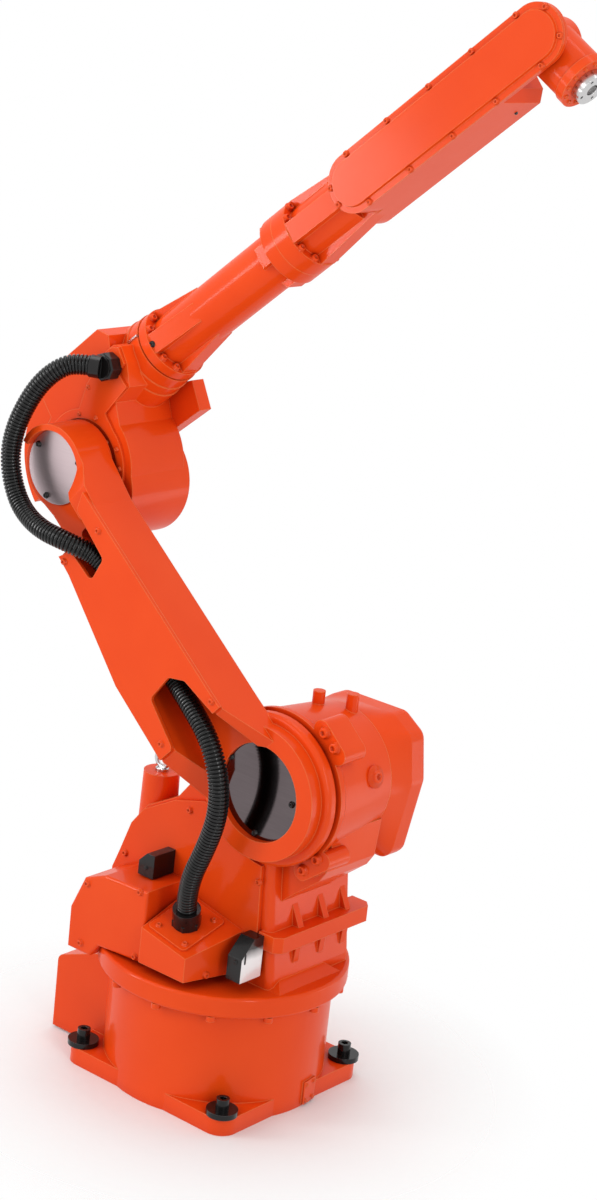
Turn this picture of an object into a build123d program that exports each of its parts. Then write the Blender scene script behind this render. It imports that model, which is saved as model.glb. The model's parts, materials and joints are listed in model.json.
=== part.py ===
import os
from math import cos, radians, sin, tan

from build123d import *

os.makedirs("parts", exist_ok=True)

# Axes of the six joints, in the pose the arm stands in
j2_forward = 150
j2_height = 620
arm_length = 680
arm_angle = 137.9  # lower arm, up from straight ahead
elbow_rise = 110
forearm_angle = 40.6
forearm_length = 1148
wrist_angle = -32
flange_reach = 107

# Clearances
joint_gap = 0.3  # running faces of a joint
cap_gap = 0.5  # caps in their recesses
bolt_gap = 1  # anchor bolts in their holes

# Base
ring_radius = 228  # slewing ring, which the base and the turret's boxes follow
ring_overhang = 25
plate_size = 2 * ring_radius - 66
plate_corner = 34
plate_thickness = 33
barrel_top = 202
box_rear = ring_radius + 70
box_half_width = 118
box_floor = 4
box_rear_height = 147
box_front_height = 184
box_corner = 16
anchor_spacing = plate_size - 50
anchor_shank = 10
anchor_end = 4
washer_radius = 28.5
washer_thickness = 10
anchor_head_radius = 12
anchor_head_height = 20
anchor_socket = 7
terminal_angle = 8.3
terminal_width = 36
terminal_height = 44
terminal_floor = 4
terminal_seat = 10
terminal_pad = 1
terminal_thickness = 4

# Turret
ring_gap = 5
ring_thickness = 39
ring_edge = 6
ring_bolt_inset = 10.5
ring_bolt_radius = 8.5
ring_bolt_height = 10
ring_bolt_angles = (-108, -81, -54, -27, 0, 27, 54, 81, 108)
cover_slot = 16  # open under the covers, over the ring
turret_spigot = 170
turret_near = 87  # side face on the lower arm's side
side_cover_thickness = 8
turret_far = 60
turret_rear = ring_radius - 23
turret_foot = 180
turret_brow = 160
turret_corner = 13
crown_height = 530
crown_slope = 40
foot_rear = 70
foot_half_width = 61
foot_flare = 14
foot_lean = 58
column_far = 128
column_rear = 30
column_top = 400
shelf_rear = 150
shelf_floor = 322
shelf_top = 352
shelf_front = 197
shelf_near = turret_near + side_cover_thickness
shelf_far = 166
shelf_corner = 13
rib_thickness = 14
rib_places = (-20, 50, 112)
rib_rise = 78
gusset_drop = 38
boss_rear = 146  # lifting eye, behind the turret axis
boss_side = 50
boss_radius = 33
boss_taper = 1.2
boss_height = 130
boss_top = crown_height + 18
eye_radius = 15
eye_wire = 4
eye_collar = 12
side_cover_edge = 10
drum_radius = 134  # J2 housing
drum_lip = 139
drum_lip_width = 10
drum_near = 86
drum_far = 74
drum_far_radius = 122
neck_near = 58
pad_circle = 148
pad_angles = (48, -52)
pad_length = 52
pad_width = 34
pad_depth = 56
motor_cover_end = 165
motor_cover_shoulder = 122
motor_cover_top = 114
motor_cover_front = 131
motor_cover_rear = 118
motor_cover_floor = 152
motor_cover_corner = 26
motor_cover_edge = 13
j2_spigot = 100
lug_radius = 11
lug_top = 150
box_near = ring_radius - 18  # gland box, out from the middle
box_tail = 20
box_front = 86
box_flare = 30
gland_fall = 11.7  # slope of the gland plate, down ahead
gland_lean = 19  # and down to the side
gland_height_outside = 45
gland_plate_thickness = 4
gland_plate_corner = 8
gland_plate_margin = 18
motor_box_near = ring_radius - 30
motor_box_front = 24
motor_box_top = 390
motor_box_drop = 24
motor_box_edge = 5
stop_width = 36
stop_reach = 55
stop_height = 44
stop_slope = 18
stop_lean = 25
stop_rise = 32
rear_stop_place = 75
front_stop_place = 131
front_stop_width = 32

# Lower arm
hub_radius = 135.5
hub_inner = 90
hub_step = 120
hub_step_out = 116
hub_face = 141
hub_floor = 124
hub_bore = 86
hub_round = 9
arm_inner = 112
arm_floor = 134
arm_rim = 205
arm_shoulder = 150
arm_belly = 290
arm_waist = arm_length - 180
arm_throat = arm_length - 120
arm_notch = arm_length - 60
arm_corner = 10
arm_inside = 60
arm_cover_thickness = 7
upper_slot = arm_length - 256
j3_drum = 78
j3_inner = 106
j3_face = 165
j3_cap_radius = 66.5
j3_rim_height = 20
cap_thickness = 4

# Elbow
elbow_near = 95
elbow_cover_thickness = 5
elbow_far = 42
elbow_drum = 112
elbow_shell = 155
elbow_top = 70
j3_motor_drum = 101
j3_motor_drop = 39
j3_motor_back = 10
j3_motor_far = 55
j3_cover_depth = 30
j3_ring = 97
j3_spigot = 62
neck_radius = 72
neck_step = 2
neck_ring = 160
neck_groove = 181
neck_end = 207

# Forearm and wrist housing
forearm_start = 209
forearm_flange_radius = 66
forearm_flange = 19
tube_radius = 48
tube_start = 338
tube_flange = 538
tube_block = 22
tube_block_slope = 7
tube_block_rise = 57
tube_flange_thickness = 27
fin_rise = 61
fin_half_width = 18
housing_flange_radius = 63
housing_flange = 33
housing_neck = 118
housing_stagger = 40  # the near face starts this much farther on than the far one
housing_half_height = 49
housing_near = 58
housing_far = 50
housing_split = 10
wrist_swing = 24  # room behind the wrist as it bends
web_slope = 16
fork_inner = 50.5
fork_overhang = 24
wrist_flange_thickness = 4
wrist_panel_thickness = 5
wrist_panel_margin = 10
wrist_panel_taper = 20
mark_radius = 3
mark_length = 24
mark_angle = 25

# Wrist
wrist_drum = 43
wrist_far = 30
wrist_gap = 2
j5_spigot = 28
wrist_neck = 43
wrist_neck_start = 8
wrist_ring_start = 76
wrist_ring_radius = 45.5
wrist_ring_end = 91
tool_radius = 27
tool_bore = 10
tool_bore_depth = 10
tool_circle = 40
tool_hole = 2.5

# Hoses
hose_radius = 18
gland_radius = 27
gland_height = 36
elbow_gland_radius = 20
elbow_gland_reach = 26
elbow_gland_arm = 18
hose_lead = 55  # straight run out of the turret's gland
elbow_hose_lead = 30

origin = Vector(0, 0, 0)
arm_dir = Vector(cos(radians(arm_angle)), 0, sin(radians(arm_angle)))
fore_dir = Vector(cos(radians(forearm_angle)), 0, sin(radians(forearm_angle)))
fore_up = Vector(-sin(radians(forearm_angle)), 0, cos(radians(forearm_angle)))
tool_dir = Vector(cos(radians(wrist_angle)), 0, sin(radians(wrist_angle)))
j2 = Vector(j2_forward, 0, j2_height)
j3 = j2 + arm_dir * arm_length
j4 = j3 + fore_up * elbow_rise
j5 = j4 + fore_dir * forearm_length
barrel_radius = ring_radius - ring_overhang
ring_floor = barrel_top + ring_gap
ring_top = ring_floor + ring_thickness
ring_bolt_circle = ring_radius - ring_bolt_inset
turret_floor = ring_top + cover_slot
brow_height = shelf_top + rib_rise
housing_start = tube_flange + tube_flange_thickness
housing_flange_end = housing_start + housing_flange
housing_far_rear = housing_flange_end + housing_neck
housing_rear = housing_far_rear + housing_stagger
housing_web = forearm_length - wrist_ring_radius - wrist_swing
fork_end = forearm_length + fork_overhang
fin_start = forearm_start + forearm_flange
cover_face = turret_near + side_cover_thickness
elbow_face = elbow_near + elbow_cover_thickness


def side(point, angle, out):
    # Plane along the arm's side: x ahead, normal towards the lower arm's side
    ahead = (cos(radians(angle)), 0, sin(radians(angle)))
    return Plane(origin=(point.X, -out, point.Z), x_dir=ahead, z_dir=(0, -1, 0))


def turned(point):
    # Plane of a profile turned about a cross axis: x is the radius, y is out from the middle
    return Plane(origin=point, x_dir=(1, 0, 0), z_dir=(0, 0, -1))


def along(point, direction):
    # Plane of a profile turned about a direction in the arm's plane: x is the radius
    return Plane(origin=point, x_dir=(0, 1, 0), z_dir=Vector(0, 1, 0).cross(direction))


def across(point, direction):
    # Plane square to a direction in the arm's plane: x is to the far side
    return Plane(origin=point, x_dir=(0, 1, 0), z_dir=direction)


def upright(point, direction):
    # The same, with x in the arm's plane
    return Plane(origin=point, x_dir=Vector(0, 1, 0).cross(direction), z_dir=(0, -1, 0))


def cross_axis(point):
    return Axis(point, (0, -1, 0))


def write(part, name):
    part.part.label = name
    export_step(part.part, "parts/" + name + ".step")


# Base
pad_dir = Vector(cos(radians(terminal_angle)), sin(radians(terminal_angle)), 0)
pad_side = Vector(-sin(radians(terminal_angle)), cos(radians(terminal_angle)), 0)
pad_point = pad_dir * (barrel_radius + terminal_pad) + Vector(0, 0, terminal_floor + terminal_height / 2)
pad_plane = Plane(origin=pad_point, x_dir=pad_side, z_dir=pad_dir)

with BuildPart() as base_casting:
    with BuildSketch():
        RectangleRounded(plate_size, plate_size, plate_corner)
        Circle(barrel_radius)
    extrude(amount=plate_thickness)
    with BuildSketch(Plane.XY.offset(plate_thickness)):
        Circle(barrel_radius)
    extrude(amount=barrel_top - plate_thickness)
    with BuildSketch(side(origin, 0, box_half_width)):
        with BuildLine():
            Polyline(
                (0, box_floor),
                (-box_rear, box_floor),
                (-box_rear, box_rear_height),
                (-barrel_radius, box_front_height),
                (0, box_front_height),
                close=True,
            )
        make_face()
    extrude(amount=-2 * box_half_width)
    rear_edges = base_casting.edges().filter_by(Axis.Y).group_by(Axis.X)[0]
    fillet(rear_edges.sort_by(Axis.Z)[-1:], box_corner)
    with BuildSketch(Plane.XY):
        with GridLocations(anchor_spacing, anchor_spacing, 2, 2):
            Circle(anchor_shank + bolt_gap)
    extrude(amount=plate_thickness, mode=Mode.SUBTRACT)
    with BuildSketch(pad_plane):
        Rectangle(terminal_width, terminal_height)
    extrude(amount=-terminal_seat)
write(base_casting, "base_casting")

with BuildPart() as terminal_cover:
    with BuildSketch(pad_plane):
        Rectangle(terminal_width, terminal_height)
    extrude(amount=terminal_thickness)
    chamfer(terminal_cover.faces().sort_by(Axis.X)[-1].edges(), 1)
write(terminal_cover, "terminal_cover")

with BuildPart() as anchor_washers:
    with BuildSketch(Plane.XY.offset(plate_thickness)):
        with GridLocations(anchor_spacing, anchor_spacing, 2, 2):
            Circle(washer_radius)
            Circle(anchor_shank + bolt_gap, mode=Mode.SUBTRACT)
    extrude(amount=washer_thickness)
write(anchor_washers, "anchor_washers")

washer_top = plate_thickness + washer_thickness
with BuildPart() as anchor_bolts:
    with BuildSketch(Plane.XY.offset(anchor_end)):
        with GridLocations(anchor_spacing, anchor_spacing, 2, 2):
            Circle(anchor_shank)
    extrude(amount=washer_top - anchor_end)
    with BuildSketch(Plane.XY.offset(washer_top)):
        with GridLocations(anchor_spacing, anchor_spacing, 2, 2):
            Circle(anchor_head_radius)
    extrude(amount=anchor_head_height)
    with BuildSketch(Plane.XY.offset(washer_top + anchor_head_height)):
        with GridLocations(anchor_spacing, anchor_spacing, 2, 2):
            RegularPolygon(anchor_socket, 6)
    extrude(amount=-anchor_head_height / 2, mode=Mode.SUBTRACT)
write(anchor_bolts, "anchor_bolts")

with BuildPart() as ring_bolts:
    with BuildSketch(Plane.XY.offset(ring_floor)):
        for angle in ring_bolt_angles:
            with Locations(Location((0, 0, 0), (0, 0, angle)) * Location((ring_bolt_circle, 0, 0))):
                Circle(ring_bolt_radius)
    extrude(amount=-ring_bolt_height)
write(ring_bolts, "ring_bolts")

# Turret
with BuildPart() as turret_casting:
    with BuildSketch(side(origin, 0, turret_near)):
        with BuildLine():
            Polyline(
                (-turret_rear + 15, ring_floor + ring_edge),
                (turret_foot, ring_floor + ring_edge),
                (turret_foot, turret_floor),
                (turret_brow, brow_height),
                (j2_forward, j2_height),
                (0, j2_height),
                (-70, crown_height),
                (-141, crown_height - crown_slope),
                (-turret_rear + 37, crown_height - 2 * crown_slope),
                (-turret_rear + 15, brow_height - crown_slope),
                (-turret_rear, shelf_top),
                (-turret_rear, turret_floor + 30),
                close=True,
            )
        make_face()
    extrude(amount=-(turret_near + turret_far))
    with BuildSketch(side(origin, 0, turret_near)):
        with BuildLine():
            Polyline(
                (column_rear, ring_floor + ring_edge),
                (turret_foot, ring_floor + ring_edge),
                (turret_foot, turret_floor),
                (turret_brow, brow_height),
                (turret_brow, column_top),
                (column_rear, column_top),
                close=True,
            )
        make_face()
    extrude(amount=-(turret_near + column_far))
    near_edges = turret_casting.edges().filter_by_position(Axis.Y, -turret_near, -turret_near)
    near_edges = near_edges.filter_by_position(Axis.X, turret_brow, turret_foot)
    fillet(near_edges.filter_by_position(Axis.Z, ring_floor, brow_height), turret_corner)
    with BuildSketch(Plane.XZ) as ring_profile:
        with Locations((ring_radius / 2, ring_floor + ring_thickness / 2)):
            Rectangle(ring_radius, ring_thickness)
        fillet(ring_profile.vertices().group_by(Axis.X)[-1], ring_edge)
    revolve(axis=Axis.Z)
    with BuildSketch(Plane(origin=(0, 0, ring_top + foot_flare), x_dir=(1, 0, 0), z_dir=(0, 0, -1))):
        with Locations(((turret_foot + foot_rear) / 2, 0)):
            Rectangle(turret_foot - foot_rear, 2 * foot_half_width)
    extrude(amount=foot_flare, taper=-foot_lean)
    with BuildSketch(Plane.XY.offset(shelf_floor)) as shelf:
        with Locations(((shelf_front + shelf_rear) / 2, (shelf_far - shelf_near) / 2)):
            Rectangle(shelf_front - shelf_rear, shelf_far + shelf_near)
        chamfer(shelf.vertices().group_by(Axis.X)[-1], shelf_corner)
    extrude(amount=shelf_top - shelf_floor)
    for place in rib_places:
        with BuildSketch(side(origin, 0, -place + rib_thickness / 2)):
            with BuildLine():
                Polyline(
                    (column_rear, shelf_floor - gusset_drop),
                    (turret_foot, shelf_floor - gusset_drop),
                    (shelf_front - shelf_corner, shelf_floor),
                    (shelf_front - shelf_corner, shelf_top),
                    (turret_brow, column_top),
                    (column_rear, column_top),
                    close=True,
                )
            make_face()
        extrude(amount=-rib_thickness)
    with BuildSketch(Plane.XY.offset(boss_top)):
        with Locations((-boss_rear, -boss_side)):
            Circle(boss_radius)
    extrude(amount=-boss_height, taper=-boss_taper)
    with BuildSketch(turned(j2)):
        with BuildLine():
            Polyline(
                (0, drum_near),
                (drum_lip, drum_near),
                (drum_lip, drum_near - drum_lip_width),
                (drum_radius, drum_near - 2 * drum_lip_width),
                (drum_far_radius, -drum_far),
                (0, -drum_far),
                close=True,
            )
        make_face()
    revolve(axis=cross_axis(j2))
    with BuildSketch(side(j2, 0, neck_near)):
        with BuildLine():
            Polyline(
                (-100, -60),
                (110, -60),
                (104, -130),
                (90, -motor_cover_floor),
                (turret_foot - j2_forward - 5, column_top + 15 - j2_height),
                (turret_brow - j2_forward, column_top - j2_height),
                (-100, column_top - j2_height),
                close=True,
            )
        make_face()
    extrude(amount=-(neck_near + drum_far))
    for angle in pad_angles:
        with BuildSketch(side(j2, angle, drum_near)):
            with Locations(Location((pad_circle, 0, 0), (0, 0, 90))):
                SlotOverall(pad_length + pad_width, pad_width)
        extrude(amount=-pad_depth)
    with BuildSketch(side(j2, 0, drum_near)):
        Circle(j2_spigot)
    extrude(amount=hub_inner - joint_gap - drum_near)
    with BuildSketch(Plane.XY.offset(ring_floor)):
        Circle(turret_spigot)
    extrude(amount=-(ring_gap - joint_gap))
    with BuildSketch(Plane.XY.offset(j2_height)):
        with Locations((j2_forward - 15, 20), (j2_forward + 30, 58)):
            Circle(lug_radius)
    extrude(amount=lug_top)
write(turret_casting, "turret_casting")

with BuildPart() as j2_motor_cover:
    with BuildSketch(side(j2, 0, -drum_far)):
        Circle(drum_far_radius)
    with BuildSketch(side(j2, 0, -motor_cover_shoulder)) as motor_outline:
        with BuildLine():
            Polyline(
                (-60, motor_cover_top),
                (75, motor_cover_top),
                (motor_cover_front - 12, motor_cover_top - 30),
                (motor_cover_front, 0),
                (motor_cover_front - 25, 16 - motor_cover_floor),
                (90, -motor_cover_floor),
                (-60, -motor_cover_floor),
                (-motor_cover_rear, -60),
                (-motor_cover_rear, 60),
                close=True,
            )
        make_face()
        fillet(motor_outline.vertices(), motor_cover_corner)
    loft()
    extrude(j2_motor_cover.faces().sort_by(Axis.Y)[-1], amount=motor_cover_end - motor_cover_shoulder)
    fillet(j2_motor_cover.faces().sort_by(Axis.Y)[-1].edges(), motor_cover_edge)
write(j2_motor_cover, "j2_motor_cover")

with BuildPart() as turret_side_cover:
    with BuildSketch(side(origin, 0, turret_near)):
        with BuildLine():
            Polyline(
                (-turret_rear + side_cover_edge, turret_floor + side_cover_edge),
                (turret_foot - 3 * side_cover_edge, turret_floor + side_cover_edge),
                (turret_brow - 2 * side_cover_edge, crown_height - 55),
                (0, crown_height + 15),
                (-70, crown_height - side_cover_edge / 2),
                (-141, crown_height - crown_slope - side_cover_edge / 2),
                (-turret_rear + 37, crown_height - 2 * crown_slope),
                (-turret_rear + 15, brow_height - crown_slope),
                (-turret_rear, shelf_top),
                (-turret_rear, turret_floor + 30),
                close=True,
            )
        make_face()
        with Locations((j2_forward, j2_height)):
            Circle(hub_radius + 14, mode=Mode.SUBTRACT)
    extrude(amount=side_cover_thickness)
write(turret_side_cover, "turret_side_cover")

with BuildPart() as j1_motor_cover:
    with BuildSketch(side(origin, 0, cover_face)):
        with BuildLine():
            Polyline(
                (-turret_rear, ring_top - motor_box_drop),
                (-turret_rear + 55, ring_top - motor_box_drop),
                (-turret_rear + 75, turret_floor - 14),
                (-motor_box_front, turret_floor - 8),
                (-motor_box_front, motor_box_top),
                (-turret_rear + 78, motor_box_top - 4),
                (-turret_rear + 29, motor_box_top - 25),
                (-turret_rear, motor_box_top - 90),
                close=True,
            )
        make_face()
    extrude(amount=motor_box_near - cover_face)
    fillet(j1_motor_cover.faces().sort_by(Axis.Y)[0].edges(), motor_box_edge)
    with BuildSketch(Plane.XY.offset(ring_floor)):
        Circle(ring_radius + cap_gap)
    extrude(amount=ring_thickness + cap_gap, mode=Mode.SUBTRACT)
write(j1_motor_cover, "j1_motor_cover")

gland_ahead = Vector(cos(radians(gland_fall)), 0, -sin(radians(gland_fall)))
gland_slope = Vector(0, cos(radians(gland_lean)), sin(radians(gland_lean)))
gland_corner = Vector(box_front, -box_near, turret_floor + gland_height_outside)
gland_span = (box_front + box_tail) / cos(radians(gland_fall))
gland_depth = (box_near - cover_face) / cos(radians(gland_lean))
gland_plate_length = gland_span - gland_plate_margin
gland_plate_width = gland_depth - gland_plate_margin
gland_middle = gland_corner - gland_ahead * (gland_span / 2) + gland_slope * (gland_depth / 2)
gland_plane = Plane(origin=gland_middle, x_dir=gland_ahead, z_dir=gland_ahead.cross(gland_slope))

with BuildPart() as gland_box:
    with BuildSketch(Plane.XY.offset(turret_floor)):
        with BuildLine():
            Polyline(
                (-box_tail, -cover_face),
                (-box_tail, -box_near),
                (box_front, -box_near),
                (box_front + box_flare, -cover_face),
                close=True,
            )
        make_face()
    extrude(amount=motor_box_top - turret_floor)
    split(bisect_by=gland_plane, keep=Keep.BOTTOM)
write(gland_box, "gland_box")

with BuildPart() as gland_plate:
    with BuildSketch(gland_plane):
        RectangleRounded(gland_plate_length, gland_plate_width, gland_plate_corner)
    extrude(amount=gland_plate_thickness)
write(gland_plate, "gland_plate")

with BuildPart() as turret_gland:
    with BuildSketch(gland_plane.offset(gland_plate_thickness)):
        RegularPolygon(gland_radius, 6)
    extrude(amount=gland_height / 3)
    with BuildSketch(gland_plane.offset(gland_plate_thickness)):
        Circle(gland_radius - 2)
    extrude(amount=gland_height)
write(turret_gland, "turret_gland")

with BuildPart() as rear_stop_block:
    with BuildSketch(side(origin, 0, cover_face)) as stop_outline:
        with Locations((-rear_stop_place, motor_box_top + cap_gap)):
            Rectangle(stop_width, stop_height, align=(Align.CENTER, Align.MIN))
        chamfer(stop_outline.vertices().group_by(Axis.X)[0].sort_by(Axis.Z)[-1:], stop_slope)
    extrude(amount=stop_reach)
write(rear_stop_block, "rear_stop_block")

stop_floor = turret_floor + side_cover_edge
with BuildPart() as front_stop_block:
    with BuildSketch(Plane.YZ.offset(front_stop_place)):
        with BuildLine():
            Polyline(
                (-cover_face, stop_floor),
                (-cover_face - stop_reach, stop_floor),
                (-cover_face - stop_reach, stop_floor + stop_height),
                (-cover_face - stop_lean, stop_floor + stop_height + stop_rise),
                (-cover_face, stop_floor + stop_height + stop_rise),
                close=True,
            )
        make_face()
    extrude(amount=front_stop_width)
write(front_stop_block, "front_stop_block")

eye_middle = boss_top + eye_radius + eye_wire + 3
with BuildPart() as lifting_eye:
    with BuildSketch(Plane.XY.offset(boss_top)):
        with Locations((-boss_rear, -boss_side)):
            Circle(eye_collar)
    extrude(amount=eye_wire + 1)
    with BuildSketch(Plane(origin=(-boss_rear, -boss_side, eye_middle), z_dir=(0, 0, 1))):
        with Locations((eye_radius, 0)):
            Circle(eye_wire)
    revolve(axis=Axis((-boss_rear, -boss_side, eye_middle), (0, 1, 0)))
write(lifting_eye, "lifting_eye")

# Lower arm
with BuildPart() as lower_arm_casting:
    with BuildSketch(side(j2, arm_angle, arm_inner)):
        with BuildLine():
            Polyline(
                (0, -100),
                (50, -90),
                (arm_shoulder, -84),
                (arm_throat, -64),
                (arm_length, -j3_drum),
                (arm_length, j3_drum),
                (arm_notch, 66),
                (arm_waist, 62),
                (arm_belly, 96),
                (arm_shoulder, 92),
                (0, 112),
                close=True,
            )
        make_face()
    extrude(amount=arm_rim - arm_inner)
    with BuildSketch(Plane(origin=j2, x_dir=arm_dir, z_dir=arm_dir.cross(Vector(0, -1, 0)))):
        with BuildLine():
            Polyline(
                (0, arm_inner),
                (0, hub_face),
                (50, hub_face),
                (arm_shoulder - 18, arm_rim),
                (arm_length - 80, arm_rim),
                (arm_length - 40, j3_face + j3_rim_height),
                (arm_length, j3_face + j3_rim_height),
                (arm_length, arm_inner),
                close=True,
            )
        make_face()
    extrude(amount=2 * hub_radius, both=True, mode=Mode.INTERSECT)
    with BuildSketch(side(j3, arm_angle, j3_inner)):
        Circle(j3_drum)
    extrude(amount=j3_face + j3_rim_height - j3_inner)
    with BuildSketch(turned(j2)) as hub_profile:
        with BuildLine():
            Polyline(
                (0, hub_inner),
                (hub_radius, hub_inner),
                (hub_radius, hub_step_out),
                (hub_step, hub_step_out),
                (hub_step, hub_face),
                (0, hub_face),
                close=True,
            )
        make_face()
        rounded = hub_profile.vertices().group_by(Axis.Y)
        fillet(rounded[0].sort_by(Axis.X)[-1:] + rounded[1].sort_by(Axis.X)[-1:], hub_round)
    revolve(axis=cross_axis(j2))
    with BuildSketch(side(j2, arm_angle, hub_floor)):
        Circle(hub_bore)
    extrude(amount=arm_rim - hub_floor, mode=Mode.SUBTRACT)
    with BuildSketch(side(j2, arm_angle, arm_floor)) as lower_pocket:
        with BuildLine():
            Polyline(
                (40, -60),
                (arm_shoulder, -68),
                (arm_belly + 10, -62),
                (arm_belly + 10, 60),
                (arm_shoulder, 56),
                (40, 52),
                close=True,
            )
        make_face()
        fillet(lower_pocket.vertices(), arm_corner)
    extrude(amount=arm_rim - arm_floor, mode=Mode.SUBTRACT)
    with BuildSketch(side(j2, arm_angle, arm_floor)) as upper_pocket:
        with BuildLine():
            Polyline((upper_slot, -50), (arm_throat, -46), (arm_throat, 32), (upper_slot, 32), close=True)
        make_face()
        fillet(upper_pocket.vertices(), arm_corner)
    extrude(amount=arm_rim - arm_floor, mode=Mode.SUBTRACT)
    with BuildSketch(side(j3, arm_angle, j3_face)):
        Circle(j3_cap_radius + cap_gap)
    extrude(amount=arm_rim - j3_face, mode=Mode.SUBTRACT)
    with BuildSketch(side(j3, arm_angle, j3_face)):
        with BuildLine():
            Polyline((-142, -20), (-40, -20), (100, 30), (100, 120), (-142, 120), close=True)
        make_face()
    extrude(amount=arm_rim - j3_face, mode=Mode.SUBTRACT)
write(lower_arm_casting, "lower_arm_casting")

with BuildPart() as lower_arm_cover:
    with BuildSketch(side(j2, arm_angle, arm_rim)) as cover_outline:
        with BuildLine():
            Polyline(
                (arm_shoulder - 14, -86),
                (arm_shoulder, -84),
                (arm_throat, -64),
                (arm_throat + 30, -63),
                (arm_throat + 15, -30),
                (arm_throat - 86, -26),
                (arm_throat - 98, 24),
                (arm_throat - 32, 30),
                (arm_throat - 22, 61),
                (arm_waist, 62),
                (arm_belly, 96),
                (arm_shoulder, 92),
                (arm_shoulder - 14, 92),
                (arm_shoulder - 14, 54),
                (arm_shoulder + 80, 40),
                (arm_shoulder + 86, -20),
                (arm_shoulder + 62, -48),
                (arm_shoulder - 14, -66),
                close=True,
            )
        make_face()
        cover_plane = side(j2, arm_angle, arm_rim)
        inside = cover_outline.vertices().filter_by(
            lambda v: abs(cover_plane.to_local_coords(v).Y) < arm_inside
        )
        fillet(inside, arm_corner)
    extrude(amount=arm_cover_thickness)
write(lower_arm_cover, "lower_arm_cover")

with BuildPart() as j2_cap:
    with BuildSketch(side(j2, arm_angle, hub_floor)):
        Circle(hub_bore - cap_gap)
    extrude(amount=cap_thickness)
write(j2_cap, "j2_cap")

with BuildPart() as j3_cap:
    with BuildSketch(side(j3, arm_angle, j3_face)):
        Circle(j3_cap_radius)
    extrude(amount=cap_thickness)
write(j3_cap, "j3_cap")

# Elbow
mark_out = Vector(0, -cos(radians(mark_angle)), 0) + fore_up * sin(radians(mark_angle))
mark_point = j4 + fore_dir * (neck_end - mark_length) + mark_out * (neck_radius - 2 * neck_step)
mark_plane = across(mark_point, fore_dir)

with BuildPart() as elbow_casting:
    with BuildSketch(side(j3, forearm_angle, elbow_near)):
        Circle(elbow_drum)
    extrude(amount=-(elbow_near + elbow_far))
    with BuildSketch(side(j3, forearm_angle, elbow_near)):
        with Locations((-j3_motor_back, -j3_motor_drop)):
            Circle(j3_motor_drum)
    extrude(amount=-(elbow_near + j3_motor_far))
    with BuildSketch(side(j4, forearm_angle, elbow_near)):
        with BuildLine():
            Polyline(
                (-30, -150),
                (-30, elbow_top - 28),
                (66, elbow_top),
                (neck_ring - 2, elbow_top + 2),
                (neck_ring + 16, elbow_top - 20),
                (124, -60),
                (90, -150),
                close=True,
            )
        make_face()
    extrude(amount=-(elbow_near + elbow_far))
    with BuildSketch(side(j4, forearm_angle, elbow_near)):
        with BuildLine():
            Polyline((60, 32), (178, 30), (192, 20), (188, -12), (170, -50), (60, -66), close=True)
        make_face()
    extrude(amount=-elbow_near)
    with BuildSketch(along(j4, fore_dir)):
        with BuildLine():
            Polyline(
                (0, 0),
                (neck_radius, 0),
                (neck_radius, neck_ring),
                (neck_radius - neck_step, neck_ring),
                (neck_radius - neck_step, neck_groove),
                (neck_radius - 2 * neck_step, neck_groove),
                (neck_radius - 2 * neck_step, neck_end),
                (neck_radius / 2, neck_end),
                (neck_radius / 2, forearm_start - joint_gap),
                (0, forearm_start - joint_gap),
                close=True,
            )
        make_face()
    revolve(axis=Axis(j4, fore_dir))
    with BuildSketch(side(j3, forearm_angle, elbow_near)):
        Circle(j3_spigot)
    extrude(amount=j3_inner - joint_gap - elbow_near)
    with BuildSketch(mark_plane):
        Circle(mark_radius)
    extrude(amount=mark_length, mode=Mode.SUBTRACT)
write(elbow_casting, "elbow_casting")

with BuildPart() as zero_mark:
    with BuildSketch(mark_plane):
        Circle(mark_radius)
    extrude(amount=mark_length)
write(zero_mark, "zero_mark")

with BuildPart() as j4_motor_cover:
    with BuildSketch(side(j3, forearm_angle, elbow_near)):
        Circle(elbow_shell)
        with Locations((-30, 0)):
            Rectangle(elbow_shell, elbow_shell, align=(Align.MAX, Align.MIN), mode=Mode.INTERSECT)
        Circle(elbow_drum, mode=Mode.SUBTRACT)
    extrude(amount=-(elbow_near + elbow_far))
write(j4_motor_cover, "j4_motor_cover")

with BuildPart() as elbow_side_cover:
    with BuildSketch(side(j4, forearm_angle, elbow_near)):
        with BuildLine():
            Polyline(
                (176, 27),
                (189, 19),
                (185, -12),
                (163, -17),
                (167, -48),
                (96, -62),
                (96, -elbow_rise),
                (20, -elbow_rise),
                (36, -30),
                (86, 3),
                (160, 28),
                close=True,
            )
        make_face()
        with Locations((0, -elbow_rise)):
            Circle(j3_ring)
            Circle(j3_drum + 2, mode=Mode.SUBTRACT)
    extrude(amount=elbow_cover_thickness)
write(elbow_side_cover, "elbow_side_cover")

with BuildPart() as j3_motor_cover:
    with BuildSketch(side(j4, forearm_angle, -elbow_far)):
        with BuildLine():
            Polyline((80, -20), (143, -44), (190, -61), (177, -115), (80, -113), close=True)
        make_face()
        with Locations((-j3_motor_back, -elbow_rise - j3_motor_drop)):
            Circle(j3_motor_drum, mode=Mode.SUBTRACT)
    extrude(amount=-j3_cover_depth)
    with BuildSketch(across(j4, fore_dir)):
        Circle(neck_radius)
    extrude(amount=forearm_start, mode=Mode.SUBTRACT)
write(j3_motor_cover, "j3_motor_cover")

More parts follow.
